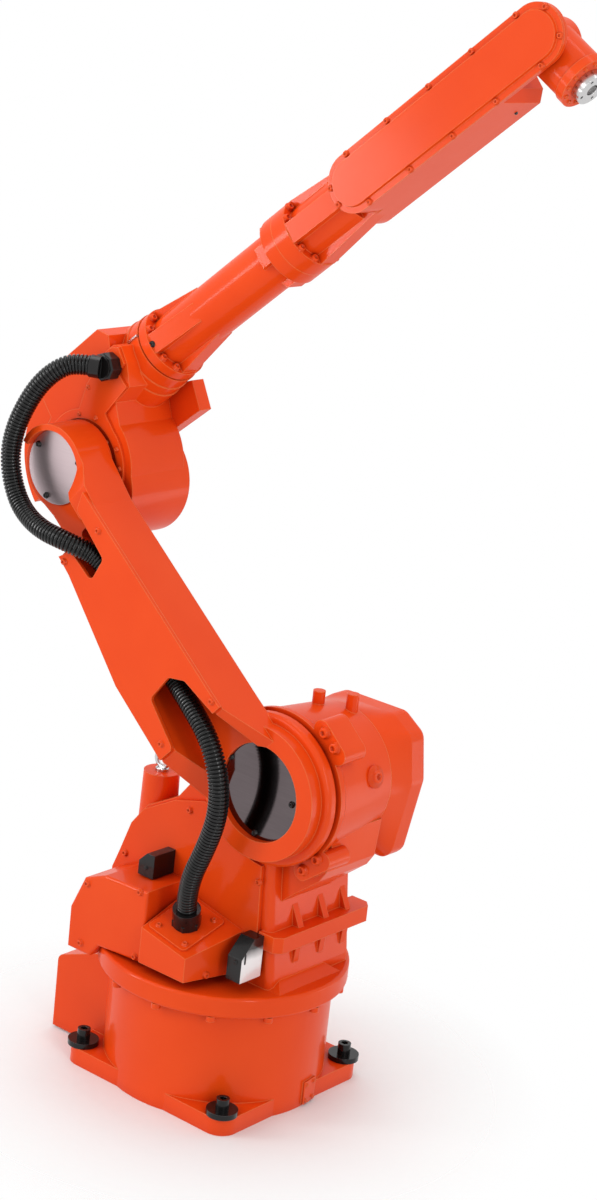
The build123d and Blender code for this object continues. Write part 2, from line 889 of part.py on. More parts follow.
elbow_gland_point = side(j4, forearm_angle, elbow_face).from_local_coords((156, 0, 0))
hose_away = Vector(-0.873, -0.485, 0.03).normalized()
elbow_gland_turn = elbow_gland_point + Vector(0, -elbow_gland_reach, 0)
elbow_gland_mouth = elbow_gland_turn + hose_away * elbow_gland_arm
with BuildPart() as elbow_gland:
    with BuildSketch(Plane(origin=elbow_gland_point, z_dir=(0, -1, 0))):
        Circle(elbow_gland_radius)
    extrude(amount=elbow_gland_reach)
    with BuildSketch(Plane(origin=elbow_gland_turn, z_dir=hose_away)):
        Circle(elbow_gland_radius)
    extrude(amount=elbow_gland_arm)
write(elbow_gland, "elbow_gland")

# Forearm
with BuildPart() as forearm_tube:
    with BuildSketch(along(j4, fore_dir)):
        with BuildLine():
            Polyline(
                (0, forearm_start),
                (forearm_flange_radius, forearm_start),
                (forearm_flange_radius, fin_start),
                (tube_radius, fin_start),
                (tube_radius, tube_flange),
                (housing_flange_radius, tube_flange),
                (housing_flange_radius, housing_start),
                (0, housing_start),
                close=True,
            )
        make_face()
    revolve(axis=Axis(j4, fore_dir))
    for fin_plane in (along(j4, fore_dir), upright(j4, fore_dir)):
        with BuildSketch(fin_plane):
            with BuildLine():
                Polyline(
                    (-fin_rise, fin_start),
                    (fin_rise, fin_start),
                    (tube_radius - neck_step, tube_start),
                    (neck_step - tube_radius, tube_start),
                    close=True,
                )
            make_face()
            with BuildLine():
                Polyline(
                    (-tube_block_rise, tube_flange),
                    (-tube_block_rise, tube_flange - tube_block),
                    (neck_step - tube_radius, tube_flange - tube_block - tube_block_slope),
                    (tube_radius - neck_step, tube_flange - tube_block - tube_block_slope),
                    (tube_block_rise, tube_flange - tube_block),
                    (tube_block_rise, tube_flange),
                    close=True,
                )
            make_face()
        extrude(amount=fin_half_width, both=True)
write(forearm_tube, "forearm_tube")

with BuildPart() as wrist_housing:
    with BuildSketch(along(j4, fore_dir)):
        with BuildLine():
            Polyline(
                (0, housing_start),
                (housing_flange_radius, housing_start),
                (housing_flange_radius, housing_flange_end),
                (tube_radius, housing_flange_end),
                (tube_radius, housing_far_rear),
                (0, housing_far_rear),
                close=True,
            )
        make_face()
    revolve(axis=Axis(j4, fore_dir))
    with BuildSketch(along(j4, fore_dir)):
        with BuildLine():
            Polyline(
                (-fin_rise, housing_flange_end),
                (fin_rise, housing_flange_end),
                (housing_far - neck_step, housing_rear),
                (neck_step - housing_near, housing_rear),
                close=True,
            )
        make_face()
    extrude(amount=fin_half_width, both=True)
    with BuildSketch(upright(j4, fore_dir)):
        with BuildLine():
            Polyline(
                (-fin_rise, housing_flange_end),
                (fin_rise, housing_flange_end),
                (housing_half_height - neck_step, housing_rear),
                (neck_step - housing_half_height, housing_rear),
                close=True,
            )
        make_face()
    extrude(amount=fin_half_width, both=True)
    for out, rear in ((housing_near, housing_rear), (housing_split, housing_far_rear)):
        with BuildSketch(side(j4, forearm_angle, -housing_far)):
            with Locations(((rear + fork_end) / 2, 0)):
                SlotCenterToCenter(fork_end - rear, 2 * housing_half_height)
        extrude(amount=housing_far + out)
    with BuildSketch(side(j4, forearm_angle, -housing_far)):
        with BuildLine():
            Polyline(
                (2 * fork_end, 2 * housing_half_height),
                (housing_web - housing_half_height - web_slope, 2 * housing_half_height),
                (housing_web, housing_half_height - web_slope),
                (housing_web, web_slope - housing_half_height),
                (housing_web - housing_half_height - web_slope, -2 * housing_half_height),
                (2 * fork_end, -2 * housing_half_height),
                close=True,
            )
        make_face()
    extrude(amount=housing_far + fork_inner, mode=Mode.SUBTRACT)
write(wrist_housing, "wrist_housing")

with BuildPart() as wrist_cover:
    with BuildSketch(side(j4, forearm_angle, housing_near)):
        with Locations(((housing_rear + fork_end) / 2, 0)):
            SlotCenterToCenter(fork_end - housing_rear, 2 * housing_half_height)
    extrude(amount=wrist_flange_thickness)
    with BuildSketch(side(j4, forearm_angle, housing_near + wrist_flange_thickness)):
        with Locations(((housing_rear + fork_end) / 2, 0)):
            SlotCenterToCenter(fork_end - housing_rear, 2 * (housing_half_height - wrist_panel_margin))
    extrude(amount=wrist_panel_thickness, taper=wrist_panel_taper)
write(wrist_cover, "wrist_cover")

# Wrist
with BuildPart() as wrist_body:
    with BuildSketch(side(j5, wrist_angle, -wrist_far)):
        Circle(wrist_drum)
    extrude(amount=wrist_far + fork_inner - wrist_gap)
    with BuildSketch(side(j5, wrist_angle, 0)):
        Circle(j5_spigot)
    extrude(amount=fork_inner - joint_gap)
    with BuildSketch(across(j5 + tool_dir * wrist_neck_start, tool_dir)):
        Circle(wrist_neck)
    extrude(amount=wrist_ring_start - wrist_neck_start)
write(wrist_body, "wrist_body")

with BuildPart() as wrist_ring:
    with BuildSketch(across(j5 + tool_dir * wrist_ring_start, tool_dir)):
        Circle(wrist_ring_radius)
    extrude(amount=wrist_ring_end - wrist_ring_start)
write(wrist_ring, "wrist_ring")

with BuildPart() as tool_flange:
    with BuildSketch(across(j5 + tool_dir * (wrist_ring_end + joint_gap), tool_dir)):
        Circle(tool_radius)
    extrude(amount=flange_reach - wrist_ring_end - joint_gap)
    with BuildSketch(across(j5 + tool_dir * flange_reach, tool_dir)):
        Circle(tool_bore)
        with PolarLocations(tool_circle / 2, 4, start_angle=45):
            Circle(tool_hole)
    extrude(amount=-tool_bore_depth, mode=Mode.SUBTRACT)
write(tool_flange, "tool_flange")


# Hoses
def hose_radii(points):
    radii = []
    for before, corner, after in zip(points, points[1:], points[2:]):
        turn = (corner - before).get_angle(after - corner)
        run = min((corner - before).length, (after - corner).length)
        radii.append(0.45 * run / tan(radians(turn / 2)))
    return radii


def on_arm(up, rear, out):
    return side(j2, arm_angle, out).from_local_coords((up, rear, 0))


gland_mouth = gland_middle + gland_plane.z_dir * (gland_plate_thickness + gland_height)
lower_route = [
    gland_mouth,
    gland_mouth + gland_plane.z_dir * hose_lead,
    Vector(90, -187, 515),
    Vector(109, -191, 572),
    Vector(111, -194, 622),
    Vector(101, -195, 662),
    Vector(75, -193, 706),
    Vector(33, -188, 741),
    on_arm(240, 6, 172),
    on_arm(300, 6, 172),
]
upper_route = [
    elbow_gland_mouth,
    elbow_gland_mouth + hose_away * elbow_hose_lead,
    Vector(-371, -170, 1248),
    Vector(-394, -185, 1219),
    Vector(-411, -197, 1181),
    Vector(-426, -206, 1134),
    Vector(-429, -211, 1086),
    Vector(-413, -214, 1038),
    on_arm(648, 74, 219),
    on_arm(590, 47, 233),
    on_arm(538, 12, 226),
    on_arm(488, 0, 182),
    on_arm(424, 0, 182),
]

for name, route in (("lower_hose", lower_route), ("upper_hose", upper_route)):
    with BuildPart() as hose:
        with BuildLine() as path:
            FilletPolyline(*route, radius=hose_radii(route))
        with BuildSketch(Plane(origin=route[0], z_dir=route[1] - route[0])):
            Circle(hose_radius)
        sweep(path=path.wire())
    write(hose, name)
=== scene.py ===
import json
import math

import bmesh
import bpy
from mathutils import Matrix, Vector


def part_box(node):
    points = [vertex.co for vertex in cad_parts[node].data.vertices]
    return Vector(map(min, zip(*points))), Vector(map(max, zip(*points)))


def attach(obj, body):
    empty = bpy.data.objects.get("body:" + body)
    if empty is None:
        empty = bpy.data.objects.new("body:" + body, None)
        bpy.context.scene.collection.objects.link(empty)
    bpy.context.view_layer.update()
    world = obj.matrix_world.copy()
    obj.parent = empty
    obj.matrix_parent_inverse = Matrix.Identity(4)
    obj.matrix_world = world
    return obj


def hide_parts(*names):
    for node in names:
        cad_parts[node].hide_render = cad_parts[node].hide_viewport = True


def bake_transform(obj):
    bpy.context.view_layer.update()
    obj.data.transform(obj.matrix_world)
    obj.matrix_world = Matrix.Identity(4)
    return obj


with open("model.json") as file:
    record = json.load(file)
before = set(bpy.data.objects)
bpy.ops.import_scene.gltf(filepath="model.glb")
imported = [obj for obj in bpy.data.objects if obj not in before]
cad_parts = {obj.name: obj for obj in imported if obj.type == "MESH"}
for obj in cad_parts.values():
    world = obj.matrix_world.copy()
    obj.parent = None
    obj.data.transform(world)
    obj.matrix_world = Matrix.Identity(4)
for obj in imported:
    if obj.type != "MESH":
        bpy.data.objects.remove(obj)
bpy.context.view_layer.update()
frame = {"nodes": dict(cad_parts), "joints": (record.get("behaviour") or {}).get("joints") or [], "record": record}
nodes = frame["nodes"]
scene = bpy.context.scene
scene.view_settings.view_transform = "Standard"
mm = 0.001  # small pieces are placed and sized in millimetres
print("frame loaded:", len(nodes), "nodes")


class Wire:  # one socket of a material, with sums written as sums
    def __init__(self, tree, socket=None):
        self.tree = tree
        self.socket = socket

    def node(self, kind, settings=None, sockets=None, out=0):
        made = self.tree.nodes.new("ShaderNode" + kind)
        for key, value in (settings or {}).items():
            setattr(made, key, value)
        for key, value in (sockets or {}).items():
            if isinstance(value, Wire):
                self.tree.links.new(value.socket, made.inputs[key])
            else:
                made.inputs[key].default_value = value
        return Wire(self.tree, made.outputs[out])

    def sum(self, operation, first, second):
        return self.node("Math", {"operation": operation}, {0: first, 1: second})

    def __add__(self, other):
        return self.sum("ADD", self, other)

    def __radd__(self, other):
        return self.sum("ADD", other, self)

    def __sub__(self, other):
        return self.sum("SUBTRACT", self, other)

    def __rsub__(self, other):
        return self.sum("SUBTRACT", other, self)

    def __mul__(self, other):
        return self.sum("MULTIPLY", self, other)

    def __rmul__(self, other):
        return self.sum("MULTIPLY", other, self)

    def mixed(self, first, second):  # first where this is 0, second where it is 1
        colours = [tint if isinstance(tint, Wire) else (*tint, 1) for tint in (first, second)]
        sockets = {0: self, 6: colours[0], 7: colours[1]}  # the factor and the two colours
        return self.node("Mix", {"data_type": "RGBA"}, sockets, out=2)

    def between(self, low, high):  # 0 at low, 1 at high
        return self.node("MapRange", {"clamp": True}, {0: self, 1: low, 2: high, 3: 0.0, 4: 1.0})

    def along(self, other):
        return self.node("VectorMath", {"operation": "DOT_PRODUCT"}, {0: self, 1: other}, out="Value")

    def length(self):
        return self.node("VectorMath", {"operation": "LENGTH"}, {0: self}, out="Value")

    def noise(self, scale, detail):
        return self.node("TexNoise", None, {"Vector": self, "Scale": scale, "Detail": detail})


def newMaterial(name):
    material = bpy.data.materials.new(name)
    material.use_nodes = True
    material.node_tree.nodes.clear()
    return material, Wire(material.node_tree)


def closeMaterial(wire, surface):
    end = wire.tree.nodes.new("ShaderNodeOutputMaterial")
    wire.tree.links.new(surface.socket, end.inputs["Surface"])


edgeRange = (0.01, 0.16)  # lean of the softened normal where an edge begins, and at its middle


def edgeShare(wire, soft):  # 1 on an edge, 0 on a face
    flat = wire.node("NewGeometry", out="Normal")
    return (1.0 - soft.along(flat)).between(*edgeRange)


# sprayed paint over cast iron; each noise has a scale and a detail, each share follows the noises in turn
paintLook = {"tint": (0.80, 0.068, 0.0050), "deep": (0.76, 0.058, 0.0040), "edgeHighlightTint": (0.95, 0.25, 0.08),
             "creaseShadeTint": (0.42, 0.014, 0.002), "creaseShadeReach": 0.05, "creaseShadeRange": (0.05, 0.65),
             "cloud": (5.0, 3.0), "cloudRange": (0.35, 0.7), "cast": (42.0, 2.0), "peel": (460.0, 2.0),
             "bumpShare": (2.0, 0.5), "relief": 0.10, "depth": 0.0008, "edge": 0.0030, "edgeHighlightShare": 0.6, "samples": 6,
             "rough": 0.38, "roughShare": (0.08, 0.03), "shine": 0.05,
             "coat": 0.25, "coatShare": 0.08, "coatRough": 0.13}


def paintMaterial(name, look):
    material, wire = newMaterial(name)
    place = wire.node("TexCoord", out="Object")
    cloud = place.noise(*look["cloud"])
    cast = place.noise(*look["cast"])
    peel = place.noise(*look["peel"])
    soft = wire.node("Bevel", {"samples": look["samples"]}, {"Radius": look["edge"]})
    bumps = cast * look["bumpShare"][0] + peel * look["bumpShare"][1]
    relief = wire.node("Bump", None, {"Strength": look["relief"], "Distance": look["depth"],
                                      "Height": bumps, "Normal": soft})
    tint = cloud.between(*look["cloudRange"]).mixed(look["deep"], look["tint"])
    # painted shade: the paint darkens towards the crease tint where ambient occlusion finds nearby surfaces
    clear = wire.node("AmbientOcclusion", {"samples": look["samples"]},
                      {"Distance": look["creaseShadeReach"]}, out="AO")
    tint = clear.between(*look["creaseShadeRange"]).mixed(look["creaseShadeTint"], tint)
    # painted highlight: the paint is lightened along its edges
    tint = (edgeShare(wire, soft) * look["edgeHighlightShare"]).mixed(tint, look["edgeHighlightTint"])
    rough = look["rough"] + cast * look["roughShare"][0] + peel * look["roughShare"][1]
    closeMaterial(wire, wire.node("BsdfPrincipled", None, {
        "Base Color": tint, "Roughness": rough, "Normal": relief, "Specular IOR Level": look["shine"],
        "Coat Weight": look["coat"] + cloud * look["coatShare"], "Coat Roughness": look["coatRough"]}))
    return material


# what the plain materials have in common
plainLook = {"cloud": (16.0, 4.0), "cloudRange": (0.3, 0.75), "grainDetail": 2.0, "depth": 0.0004,
             "roughShare": (0.08, 0.04), "coatRough": 0.08, "samples": 4}


def plainMaterial(name, look):
    look = {**plainLook, **look}
    material, wire = newMaterial(name)
    place = wire.node("TexCoord", out="Object")
    cloud = place.noise(*look["cloud"])
    grain = place.noise(look["grain"], look["grainDetail"])
    soft = wire.node("Bevel", {"samples": look["samples"]}, {"Radius": look["edge"]})
    relief = wire.node("Bump", None, {"Strength": look["relief"], "Distance": look["depth"],
                                      "Height": grain, "Normal": soft})
    dark = tuple(part * look["fade"] for part in look["tint"])
    tint = cloud.between(*look["cloudRange"]).mixed(dark, look["tint"])
    # painted highlight: the surface is lightened along its edges
    tint = (edgeShare(wire, soft) * look["edgeHighlightShare"]).mixed(tint, look["edgeHighlightTint"])
    rough = look["rough"] + cloud * look["roughShare"][0] + grain * look["roughShare"][1]
    closeMaterial(wire, wire.node("BsdfPrincipled", None, {
        "Base Color": tint, "Metallic": look["metal"], "Roughness": rough, "Normal": relief,
        "Specular IOR Level": look["shine"], "Coat Weight": look["coat"], "Coat Roughness": look["coatRough"]}))
    return material


# what the brushed caps have in common
brushLook = {"lay": (0, 0.7, 0), "stretch": (1, 1, 60), "lines": (14.0, 6.0), "cloud": (7.0, 3.0),
             "tintShare": 0.5, "tintRange": (0.25, 0.75), "roughShare": (0.05, 0.03),
             "edge": 0.0012, "relief": 0.06, "depth": 0.0003, "samples": 4}


def brushedMaterial(name, look):
    look = {**brushLook, **look}
    material, wire = newMaterial(name)
    place = wire.node("TexCoord", out="Object")
    turned = wire.node("Mapping", None, {"Vector": place, "Rotation": look["lay"], "Scale": look["stretch"]})
    lines = turned.noise(*look["lines"])
    cloud = place.noise(*look["cloud"])
    soft = wire.node("Bevel", {"samples": look["samples"]}, {"Radius": look["edge"]})
    relief = wire.node("Bump", None, {"Strength": look["relief"], "Distance": look["depth"],
                                      "Height": lines, "Normal": soft})
    blend = lines * look["tintShare"] + cloud * (1 - look["tintShare"])
    tint = blend.between(*look["tintRange"]).mixed(look["deep"], look["tint"])
    rough = look["rough"] + lines * look["roughShare"][0] + cloud * look["roughShare"][1]
    closeMaterial(wire, wire.node("BsdfPrincipled", None, {
        "Base Color": tint, "Metallic": 1.0, "Roughness": rough, "Normal": relief}))
    return material


# painted reflection: the tint goes from bright below to dark above by height
def reflectionPaintedMaterial(name, look):  # dark above, bright below
    material, wire = newMaterial(name)
    place = wire.node("TexCoord", out="Object")
    smear = place.noise(*look["noise"])
    height = place.along((0, 0, 1)) + smear * look["smear"]
    tint = height.between(look["bright"], look["dark"]).mixed(look["tint"], look["deep"])
    closeMaterial(wire, wire.node("BsdfPrincipled", None, {
        "Base Color": tint, "Metallic": look["metal"], "Roughness": look["rough"] + smear * look["roughShare"],
        "Specular IOR Level": look["shine"]}))
    return material


# one look for each material slot of the part
slotLook = {
    "orange_paint": paintMaterial("orangePaint", paintLook),
    "black_steel": plainMaterial("blackSteel", {
        "tint": (0.010, 0.009, 0.009), "edgeHighlightTint": (0.16, 0.15, 0.15), "fade": 0.6, "shine": 0.3, "coat": 0.1,
        "rough": 0.12, "metal": 0.2, "grain": 380.0, "relief": 0.06, "edge": 0.0014, "edgeHighlightShare": 0.4}),
    "black_plastic": plainMaterial("blackPlastic", {
        "tint": (0.008, 0.007, 0.007), "edgeHighlightTint": (0.06, 0.06, 0.06), "fade": 0.7, "shine": 0.25, "coat": 0.2,
        "rough": 0.16, "metal": 0.0, "grain": 700.0, "relief": 0.08, "edge": 0.0012, "edgeHighlightShare": 0.4}),
    "hose_rubber": plainMaterial("hoseBlack", {
        "tint": (0.004, 0.004, 0.004), "edgeHighlightTint": (0.02, 0.02, 0.02), "fade": 0.6, "shine": 0.2, "coat": 0.35,
        "rough": 0.16, "metal": 0.0, "grain": 900.0, "relief": 0.04, "edge": 0.0003, "edgeHighlightShare": 0.2}),
    "bare_steel": plainMaterial("brightSteel", {
        "tint": (0.66, 0.65, 0.65), "edgeHighlightTint": (0.85, 0.85, 0.85), "fade": 0.82, "shine": 0.5, "coat": 0.0,
        "rough": 0.16, "metal": 1.0, "grain": 500.0, "relief": 0.05, "edge": 0.0008, "edgeHighlightShare": 0.5}),
    # painted reflection: the silver tint is kept dark, standing in for the dark reflection on the hub's cap
    "silver_cover": brushedMaterial("silverCapDarkReflection", {
        "tint": (0.17, 0.14, 0.145), "deep": (0.11, 0.088, 0.092), "rough": 0.05})}
for entry in frame["record"]["subparts"]:
    mesh = nodes[entry["node"]].data
    mesh.materials.clear()
    mesh.materials.append(slotLook[entry["material_slot"]])

# the elbow's cap is more matt than the hub's, and its tint is painted lighter as a painted bright reflection
satinBrightReflectionLook = {"tint": (0.52, 0.42, 0.435), "deep": (0.45, 0.36, 0.375), "rough": 0.32}
nodes["j3_cap"].data.materials[0] = brushedMaterial("satinCapBrightReflection", satinBrightReflectionLook)

# polished end of the front stop, with a painted reflection, bright below and dark above: bright and dark are
# heights in metres
stopLook = {"tint": (0.84, 0.81, 0.81), "deep": (0.03, 0.02, 0.02), "bright": 0.318, "dark": 0.338,
            "noise": (30.0, 2.0), "smear": 0.012, "metal": 0.3, "rough": 0.14, "roughShare": 0.06, "shine": 0.8,
            "facing": 0.9}
stopMesh = nodes["front_stop_block"].data
stopMesh.materials.append(reflectionPaintedMaterial("stopFacePaintedReflection", stopLook))
for polygon in stopMesh.polygons:
    polygon.material_index = int(polygon.normal.x > stopLook["facing"])
print("materials done")

# where the axes lie, from the frame's own joints
joints = {joint["name"]: Vector(joint["pos_m"]) for joint in frame["joints"]}
jointNames = ("j2_lower_arm", "j3_elbow", "j4_forearm_turn", "j5_wrist_bend", "j6_flange_turn")
j2, j3, j4, j5, j6 = (joints[name] for name in jointNames)
nearWay = Vector((0, -1, 0))
aheadWay = Vector((1, 0, 0))
upWay = Vector((0, 0, 1))
armWay = (j3 - j2).normalized()
armRear = nearWay.cross(armWay)
foreWay = (j5 - j4).normalized()
foreUp = nearWay.cross(foreWay)
toolWay = (j6 - j5).normalized()
toolSide = nearWay.cross(toolWay)


def placer(origin, first, second):  # places by two ways of a side view, and by how far out of it
    def place(one, two, out):
        return origin + (first * one + second * two + nearWay * out) * mm
    return place


onSide = placer(Vector((0, 0, 0)), aheadWay, upWay)
onHub = placer(j2, aheadWay, upWay)
onCap = placer(j3, aheadWay, upWay)
onArm = placer(j2, armWay, armRear)
onFore = placer(j4, foreWay, foreUp)


def around(first, second, turn):
    return first * math.cos(turn) + second * math.sin(turn)


def fourCorners(middle, first, second):
    return [middle + (first * one + second * two) * mm for one in (-1, 1) for two in (-1, 1)]


def addPiece(name, build, body, slotName, material=None):
    mesh = bpy.data.meshes.new(name)
    build.to_mesh(mesh)
    build.free()
    mesh.materials.append(material or slotLook[slotName])
    piece = bpy.data.objects.new(name, mesh)
    scene.collection.objects.link(piece)
    if body:
        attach(piece, body)
    return piece


def skin(build, loops, smooth):  # walls from loop to loop, and an end at each side
    for before, after in zip(loops, loops[1:]):
        for number in range(len(before)):
            face = build.faces.new((before[number - 1], before[number], after[number], after[number - 1]))
            face.smooth = smooth
    build.faces.new(list(reversed(loops[0])))
    build.faces.new(loops[-1])


def turnedForm(build, place, way, profile, sides=24, smooth=True):  # rows of radius, rise and maybe corners
    side = way.orthogonal().normalized()
    other = way.cross(side)
    loops = []
    for radius, rise, *corners in profile:
        loop = []
        for number in range(sides):
            turn = math.tau * number / sides
            reach = radius
            if corners:
                step = math.tau / corners[0]
                reach *= math.cos(step / 2) / math.cos(turn % step - step / 2)
            loop.append(build.verts.new(place + (way * rise + around(side, other, turn) * reach) * mm))
        loops.append(loop)
    skin(build, loops, smooth)


# screws: a cap head with a six-cornered socket, on a washer face
screwLook = {"seat": 8.2, "seatRise": 0.8, "sunk": 1.5, "head": 6.2, "rise": 6.0, "edge": 0.9,
             "socket": 3.6, "depth": 3.2, "corners": 6}


def screwProfile(look):
    rise, floor = look["rise"], look["rise"] - look["depth"]
    return [(look["seat"], -look["sunk"]), (look["seat"], look["seatRise"]), (look["head"], look["seatRise"]),
            (look["head"], rise - look["edge"]), (look["head"] - look["edge"], rise),
            (look["socket"], rise, look["corners"]), (look["socket"], floor, look["corners"])]


def addScrews(name, body, spots, size=1.0, slotName="orange_paint"):  # spots are pairs of place and way
    build = bmesh.new()
    profile = [(radius * size, rise * size, *corners) for radius, rise, *corners in screwProfile(screwLook)]
    for place, way in spots:
        turnedForm(build, place, way, profile)
    addPiece(name, build, body, slotName)


# screws of the covers and caps, on the near side
coverScrews = {
    "sideCoverScrews": {"body": "turret", "on": onSide, "out": 95, "size": 0.85, "slot": "orange_paint",
                        "spots": ((-176, 388), (-33, 518), (138, 441), (145, 290))},
    "motorBoxScrews": {"body": "turret", "on": onSide, "out": 198, "size": 0.85, "slot": "orange_paint",
                       "spots": ((-167, 357), (-41, 385), (-172, 240), (-40, 262))},
    "padScrews": {"body": "turret", "on": onHub, "out": 86, "size": 1.35, "slot": "orange_paint",
                  "spots": ((88, 125), (112, 105), (101, -100), (74, -129))},
    "hubCapScrews": {"body": "lower_arm", "on": onHub, "out": 128, "size": 0.75, "slot": "black_steel",
                     "spots": ((-75, 40), (-6, -78), (67, -2))},
    "elbowCapScrews": {"body": "lower_arm", "on": onCap, "out": 169, "size": 0.75, "slot": "black_steel",
                       "spots": ((-46, 32), (-18, -55), (53, 20))},
    "armCoverScrews": {"body": "lower_arm", "on": onArm, "out": 212, "size": 0.8, "slot": "orange_paint",
                       "spots": ((157, 70), (153, -78), (523, 55), (518, -50))},
    "elbowCoverScrews": {"body": "elbow", "on": onFore, "out": 100, "size": 0.55, "slot": "orange_paint",
                         "spots": ((163, 20), (86, -4), (40, -32), (72, -58), (62, -78), (70, -106), (86, -128),
                                   (72, -160))}}
for name, look in coverScrews.items():
    places = [look["on"](*spot, look["out"]) for spot in look["spots"]]
    addScrews(name, look["body"], [(place, nearWay) for place in places], look["size"], look["slot"])
print("cover screws done")

# bolts that hold the forearm together, in pairs between its ribs
forearmBolts = {"ahead": (228, 598), "circle": 56.5, "turns": (45, 135, 225, 315), "spread": 15}
spots = []
for ahead in forearmBolts["ahead"]:
    for turn in forearmBolts["turns"]:
        for lean in (-forearmBolts["spread"], forearmBolts["spread"]):
            way = around(nearWay, foreUp, math.radians(turn + lean))  # 0 is near, 90 is up
            spots.append((onFore(ahead, 0, 0) + way * forearmBolts["circle"] * mm, foreWay))
addScrews("forearmBolts", "forearm", spots)

# screws round the rim of the long wrist cover: along its two sides, then round its ends
rimScrews = {"rear": 756, "front": 1172, "radius": 44.5, "out": 62, "size": 0.72, "along": 5, "inset": 0.15,
             "rearTurns": (160, 200), "frontTurns": (-35, 35)}
radius, span = rimScrews["radius"], rimScrews["front"] - rimScrews["rear"]
rimSpots = []
for number in range(rimScrews["along"]):
    share = (number + rimScrews["inset"]) / (rimScrews["along"] - 1 + 2 * rimScrews["inset"])
    rimSpots += [(rimScrews["rear"] + span * share, up) for up in (-radius, radius)]
for end in ("rear", "front"):
    for turn in rimScrews[end + "Turns"]:
        angle = math.radians(turn)
        rimSpots.append((rimScrews[end] + radius * math.cos(angle), radius * math.sin(angle)))
spots = [(onFore(*spot, rimScrews["out"]), nearWay) for spot in rimSpots]
addScrews("rimScrews", "forearm", spots, rimScrews["size"])

# bolts round the face of the wrist ring
wristBolts = {"count": 12, "circle": 37, "rise": 91, "size": 0.5}
spots = []
for number in range(wristBolts["count"]):
    way = around(nearWay, toolSide, math.tau * (number + 0.5) / wristBolts["count"])
    spots.append((j5 + (toolWay * wristBolts["rise"] + way * wristBolts["circle"]) * mm, toolWay))
addScrews("wristBolts", "wrist", spots, wristBolts["size"])
print("arm bolts done")

# plug on the front of the J2 housing
plugLook = {"way": (0.964, 0, 0.265), "reach": 128.5, "out": -20, "seat": 20, "seatRise": 3, "sunk": 4,
            "head": 11, "rise": 9, "edge": 1, "socket": 6, "depth": 5, "corners": 6}
build = bmesh.new()
plugWay = Vector(plugLook["way"]).normalized()
plugPlace = j2 + (plugWay * plugLook["reach"] + nearWay * plugLook["out"]) * mm
turnedForm(build, plugPlace, plugWay, screwProfile(plugLook))
addPiece("drainPlug", build, "turret", "orange_paint")

# screws of the sloped gland plate: it falls ahead and leans inward
glandLook = {"fall": 11.7, "lean": 19, "inset": 13, "length": 90.2, "width": 103.6, "rise": 4, "size": 0.75}
plateLow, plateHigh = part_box("gland_plate")
fall, lean = math.radians(glandLook["fall"]), math.radians(glandLook["lean"])
glandAhead = Vector((math.cos(fall), 0, -math.sin(fall)))
glandSlope = Vector((0, math.cos(lean), math.sin(lean)))
glandWay = glandAhead.cross(glandSlope).normalized()
glandMiddle = (plateLow + plateHigh) / 2 + glandWay * glandLook["rise"] / 2 * mm
reaches = [glandLook[key] / 2 - glandLook["inset"] for key in ("length", "width")]
places = fourCorners(glandMiddle, glandAhead * reaches[0], glandSlope * reaches[1])
addScrews("glandPlateScrews", "turret", [(place, glandWay) for place in places], glandLook["size"])

# screws of the terminal cover
terminalLook = {"turn": 8.3, "reach": 208, "middle": 26, "across": 12, "up": 15, "size": 0.55}
turn = math.radians(terminalLook["turn"])
padWay = around(aheadWay, -nearWay, turn)
padSide = around(-nearWay, -aheadWay, turn)
padMiddle = (padWay * terminalLook["reach"] + upWay * terminalLook["middle"]) * mm
places = fourCorners(padMiddle, padSide * terminalLook["across"], upWay * terminalLook["up"])
addScrews("terminalScrews", "base", [(place, padWay) for place in places], terminalLook["size"])

# eight-sided nut of the elbow's hose gland
nutLook = {"place": (156, 0, 99), "radius": 25.5, "chamfer": 2.5, "rise": 25, "corners": 8}
build = bmesh.new()
radius, rise, corners = nutLook["radius"], nutLook["rise"], nutLook["corners"]
profile = [(radius, 0, corners), (radius, rise - nutLook["chamfer"], corners),
           (radius - nutLook["chamfer"], rise, corners)]
turnedForm(build, onFore(*nutLook["place"]), nearWay, profile, 2 * corners, smooth=False)
addPiece("elbowGlandNut", build, "elbow", "black_plastic")

# screws that lie alone
loneScrews = {
    "rearStopScrew": {"body": "turret", "place": (-74.8, -150, 407), "way": (0, -1, 0),
                      "size": 0.5, "slot": "black_steel"},
    "frontStopScrew": {"body": "turret", "place": (149.5, -150, 309), "way": (0, -1, 0),
                       "size": 0.5, "slot": "black_steel"},
    "flareScrew": {"body": "turret", "place": (97.8, -164.9, 269.3), "way": (0.968, -0.252, 0),
                   "size": 0.9, "slot": "orange_paint"},
    "zeroScrew": {"body": "forearm", "place": (-251.4, -60.8, 1307.9), "way": (0.103, -0.991, 0.088),
                  "size": 0.75, "slot": "black_steel"},
    "housingScrew": {"body": "forearm", "place": (391.3, 18.2, 1795.5), "way": (0.651, 0, -0.759),
                     "size": 0.4, "slot": "black_steel"}}
for name, look in loneScrews.items():
    spot = (Vector(look["place"]) * mm, Vector(look["way"]).normalized())
    addScrews(name, look["body"], [spot], look["size"], look["slot"])

# dark slot in the front stop's polished end: a round that is drawn out up and down
slotMark = {"place": (163, -141.2, 316), "radius": 2.2, "length": 20, "rise": 0.4, "sunk": 1}
build = bmesh.new()
centre = Vector(slotMark["place"]) * mm
radius = slotMark["radius"]
turnedForm(build, centre, aheadWay, [(radius, -slotMark["sunk"]), (radius, slotMark["rise"])])
for vertex in build.verts:
    draw = math.copysign(slotMark["length"] / 2 - radius, (vertex.co - centre).dot(upWay))
    vertex.co += upWay * draw * mm
addPiece("stopSlot", build, "turret", "black_steel")
print("small pieces done")

# ringed hoses, in metres; flat broadens the crests between the grooves
hoseLook = {"radius": 0.018, "groove": 0.0036, "pitch": 0.0064, "flat": 1.5, "steps": 10, "sides": 28,
            "resolution": 24}
